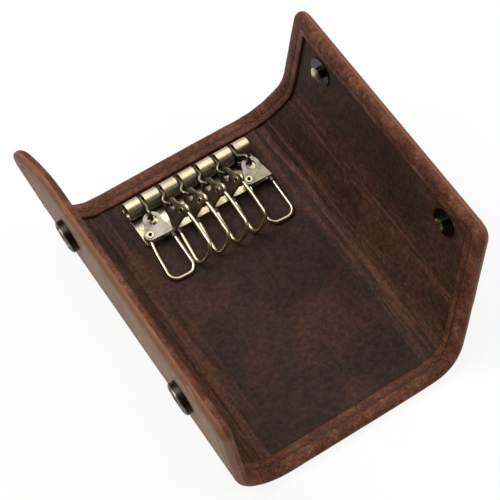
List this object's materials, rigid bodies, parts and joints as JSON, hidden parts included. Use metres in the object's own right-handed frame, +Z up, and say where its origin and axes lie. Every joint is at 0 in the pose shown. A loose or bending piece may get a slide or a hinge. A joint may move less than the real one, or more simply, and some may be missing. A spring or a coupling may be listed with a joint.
{
  "type": "key organiser",
  "caption": "Folding leather key case with a slotted metal rail, swinging key hooks with wire loops, and press buttons on its flaps.",
  "frame": {"origin": "middle of the underside of the centre panel, on the table", "axes": "+X across the case towards the flap with the studs, +Y along the folds towards the key rail, +Z up from the table"},
  "size_m": [0.1001, 0.117, 0.0605],
  "materials": {
    "leather": "waxed, distressed",
    "lining": "matt, streaked",
    "board": "plain stiffener",
    "thread": "waxed thread",
    "antique_brass": "antiqued, polished edges",
    "dark_brass": "darkened",
    "nickel": "worn plating",
    "steel": "plain"
  },
  "bodies": {
    "centre": {"centre_cover": "leather", "centre_board": "board", "centre_lining": "lining", "centre_stitching": "thread", "key_rail": "antique_brass", "rail_rod": "steel", "rail_rivets": "antique_brass"},
    "left_spine": {"left_spine_cover": "leather", "left_spine_lining": "lining", "left_spine_stitching": "thread"},
    "left_flap": {"left_flap_cover": "leather", "left_flap_board": "board", "left_flap_lining": "lining", "left_flap_stitching": "thread", "snap_sockets": "dark_brass", "socket_springs": "steel", "socket_backs": "antique_brass"},
    "right_spine": {"right_spine_cover": "leather", "right_spine_lining": "lining", "right_spine_stitching": "thread"},
    "right_flap": {"right_flap_cover": "leather", "right_flap_board": "board", "right_flap_lining": "lining", "right_flap_stitching": "thread", "snap_studs": "antique_brass", "stud_caps": "antique_brass"},
    "link_1": {"link_1": "antique_brass"},
    "hook_1": {"clip_plate_1": "nickel", "clip_eyelet_1": "antique_brass"},
    "loop_1": {"key_loop_1": "antique_brass", "loop_crimp_1": "dark_brass"},
    "link_2": {"link_2": "antique_brass"},
    "hook_2": {"clip_plate_2": "antique_brass", "clip_eyelet_2": "antique_brass"},
    "loop_2": {"key_loop_2": "antique_brass", "loop_crimp_2": "dark_brass"},
    "link_3": {"link_3": "antique_brass"},
    "hook_3": {"clip_plate_3": "antique_brass", "clip_eyelet_3": "antique_brass"},
    "loop_3": {"key_loop_3": "antique_brass", "loop_crimp_3": "dark_brass"},
    "link_4": {"link_4": "antique_brass"},
    "hook_4": {"clip_plate_4": "antique_brass", "clip_eyelet_4": "antique_brass"},
    "loop_4": {"key_loop_4": "antique_brass", "loop_crimp_4": "dark_brass"},
    "link_5": {"link_5": "antique_brass"},
    "hook_5": {"clip_plate_5": "antique_brass", "clip_eyelet_5": "antique_brass"},
    "loop_5": {"key_loop_5": "antique_brass", "loop_crimp_5": "dark_brass"},
    "link_6": {"link_6": "antique_brass"},
    "hook_6": {"clip_plate_6": "nickel", "clip_eyelet_6": "antique_brass"},
    "loop_6": {"key_loop_6": "antique_brass", "loop_crimp_6": "dark_brass"}
  },
  "joints": [
    {"name": "left_crease", "type": "hinge", "parent": "centre", "child": "left_spine", "pos_m": [-0.033, 0, 0.003], "axis": [0, 1, 0], "range_deg": [-40, 82.2]},
    {"name": "left_flap_crease", "type": "hinge", "parent": "left_spine", "child": "left_flap", "pos_m": [-0.04296, 0, 0.01136], "axis": [0, 1, 0], "range_deg": [-35, 13.8]},
    {"name": "right_crease", "type": "hinge", "parent": "centre", "child": "right_spine", "pos_m": [0.033, 0, 0.003], "axis": [0, -1, 0], "range_deg": [-65, 56.5]},
    {"name": "right_flap_crease", "type": "hinge", "parent": "right_spine", "child": "right_flap", "pos_m": [0.04145, 0, 0.02113], "axis": [0, -1, 0], "range_deg": [-15, 39.98]},
    {"name": "link_1_swing", "type": "hinge", "parent": "centre", "child": "link_1", "pos_m": [-0.0175, 0.0452, 0.00675], "axis": [1, 0, 0], "range_deg": [-90, 0]},
    {"name": "hook_1_swing", "type": "hinge", "parent": "link_1", "child": "hook_1", "pos_m": [-0.0181, 0.04008, 0.00765], "axis": [1, 0, 0], "range_deg": [-45, 0]},
    {"name": "loop_1_gate", "type": "hinge", "parent": "hook_1", "child": "loop_1", "pos_m": [-0.02155, 0.03362, 0.00583], "axis": [0, -0.1132, 0.9936], "range_deg": [-20, 0]},
    {"name": "link_2_swing", "type": "hinge", "parent": "centre", "child": "link_2", "pos_m": [-0.0105, 0.0452, 0.00675], "axis": [1, 0, 0], "range_deg": [-90, 0]},
    {"name": "hook_2_swing", "type": "hinge", "parent": "link_2", "child": "hook_2", "pos_m": [-0.0105, 0.04031, 0.00853], "axis": [1, 0, 0], "range_deg": [-45, 0]},
    {"name": "loop_2_gate", "type": "hinge", "parent": "hook_2", "child": "loop_2", "pos_m": [-0.00827, 0.03337, 0.01048], "axis": [0.8375, -0.0391, -0.545], "range_deg": [-20, 0]},
    {"name": "link_3_swing", "type": "hinge", "parent": "centre", "child": "link_3", "pos_m": [-0.0035, 0.0452, 0.00675], "axis": [1, 0, 0], "range_deg": [-90, 0]},
    {"name": "hook_3_swing", "type": "hinge", "parent": "link_3", "child": "hook_3", "pos_m": [-0.0035, 0.04031, 0.00853], "axis": [1, 0, 0], "range_deg": [-45, 0]},
    {"name": "loop_3_gate", "type": "hinge", "parent": "hook_3", "child": "loop_3", "pos_m": [-0.00127, 0.03337, 0.01048], "axis": [0.8375, -0.0391, -0.545], "range_deg": [-20, 0]},
    {"name": "link_4_swing", "type": "hinge", "parent": "centre", "child": "link_4", "pos_m": [0.0035, 0.0452, 0.00675], "axis": [1, 0, 0], "range_deg": [-90, 0]},
    {"name": "hook_4_swing", "type": "hinge", "parent": "link_4", "child": "hook_4", "pos_m": [0.0035, 0.04031, 0.00853], "axis": [1, 0, 0], "range_deg": [-45, 0]},
    {"name": "loop_4_gate", "type": "hinge", "parent": "hook_4", "child": "loop_4", "pos_m": [0.00573, 0.03337, 0.01048], "axis": [0.8375, -0.0391, -0.545], "range_deg": [-20, 0]},
    {"name": "link_5_swing", "type": "hinge", "parent": "centre", "child": "link_5", "pos_m": [0.0105, 0.0452, 0.00675], "axis": [1, 0, 0], "range_deg": [-90, 0]},
    {"name": "hook_5_swing", "type": "hinge", "parent": "link_5", "child": "hook_5", "pos_m": [0.0105, 0.04031, 0.00853], "axis": [1, 0, 0], "range_deg": [-45, 0]},
    {"name": "loop_5_gate", "type": "hinge", "parent": "hook_5", "child": "loop_5", "pos_m": [0.01273, 0.03337, 0.01048], "axis": [0.8375, -0.0391, -0.545], "range_deg": [-20, 0]},
    {"name": "link_6_swing", "type": "hinge", "parent": "centre", "child": "link_6", "pos_m": [0.0175, 0.0452, 0.00675], "axis": [1, 0, 0], "range_deg": [-90, 0]},
    {"name": "hook_6_swing", "type": "hinge", "parent": "link_6", "child": "hook_6", "pos_m": [0.0199, 0.04008, 0.00765], "axis": [1, 0, 0], "range_deg": [-45, 0]},
    {"name": "loop_6_gate", "type": "hinge", "parent": "hook_6", "child": "loop_6", "pos_m": [0.01645, 0.03362, 0.00583], "axis": [0, -0.1132, 0.9936], "range_deg": [-20, 0]}
  ]
}
